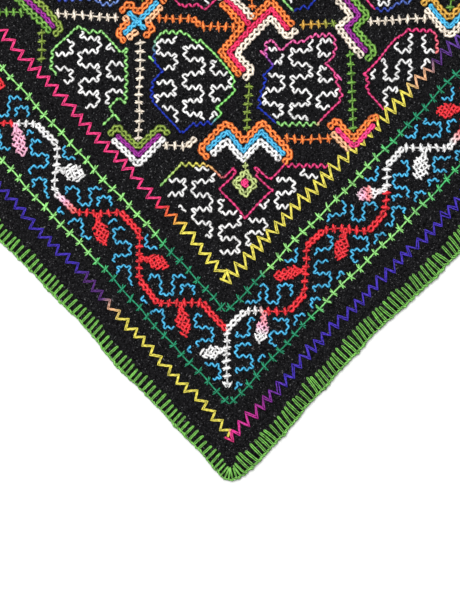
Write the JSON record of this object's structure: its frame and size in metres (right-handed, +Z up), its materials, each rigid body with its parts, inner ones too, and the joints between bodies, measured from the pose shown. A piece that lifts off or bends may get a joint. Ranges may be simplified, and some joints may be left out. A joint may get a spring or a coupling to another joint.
{
  "type": "shipibo embroidered cloth",
  "caption": "Square black cotton cloth lying flat, covered with a geometric yarn embroidery inside a leafy vine border, its edge bound in green blanket stitch.",
  "frame": {"origin": "middle of the cloth, on the surface it lies on", "axes": "+Z up from the embroidered face; +X and +Y along the cloth's sides, with the corner that the bias pull draws out at -X-Y (and its opposite at +X+Y)"},
  "size_m": [0.514, 0.5148, 0.003],
  "materials": {
    "black_cotton": "matt plain-woven cotton, embroidered in many colours of yarn",
    "green_yarn": "soft two-ply yarn in open blanket stitch"
  },
  "bodies": {
    "root": {"ground_cloth": "black_cotton", "blanket_edging": "green_yarn"}
  },
  "joints": []
}
